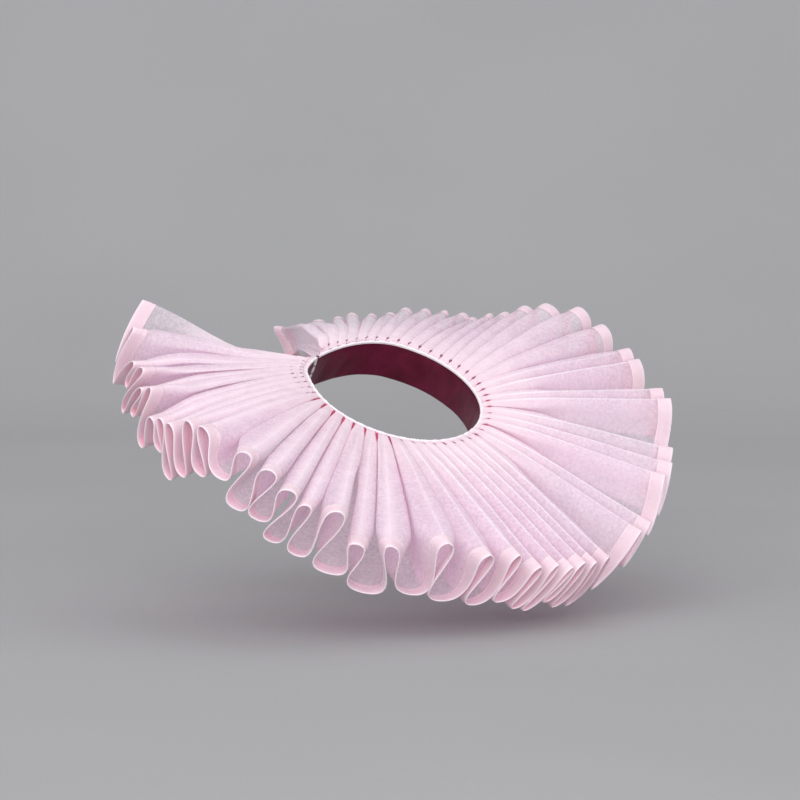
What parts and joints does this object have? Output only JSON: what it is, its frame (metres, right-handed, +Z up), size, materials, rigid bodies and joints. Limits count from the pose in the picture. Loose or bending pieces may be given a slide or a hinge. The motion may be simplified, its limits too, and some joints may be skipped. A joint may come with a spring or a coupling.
{
  "type": "ruff collar",
  "caption": "Deep pleated ruff collar of sheer organza with a folded ribbon edge, on a satin neckband that closes at the back with a hook and eye.",
  "frame": {"origin": "The centre of the neckline circle, where the wearer's neck holds the collar.", "axes": "+Z is up with the collar as worn. The wearer faces -Y and the wearer's left is +X. The neckline's plane is tipped 30 degrees forward."},
  "size_m": [0.4166, 0.3785, 0.2158],
  "materials": {
    "organza": "sheer pale pink",
    "ribbon": "pale pink ribbon",
    "band_satin": "burgundy satin",
    "roll_satin": "pale pink satin",
    "wire": "plated wire"
  },
  "bodies": {
    "root": {"frill": "organza", "edge_binding": "ribbon", "neckband": "band_satin", "neck_binding": "roll_satin", "hook": "wire", "eye": "wire"}
  },
  "joints": []
}
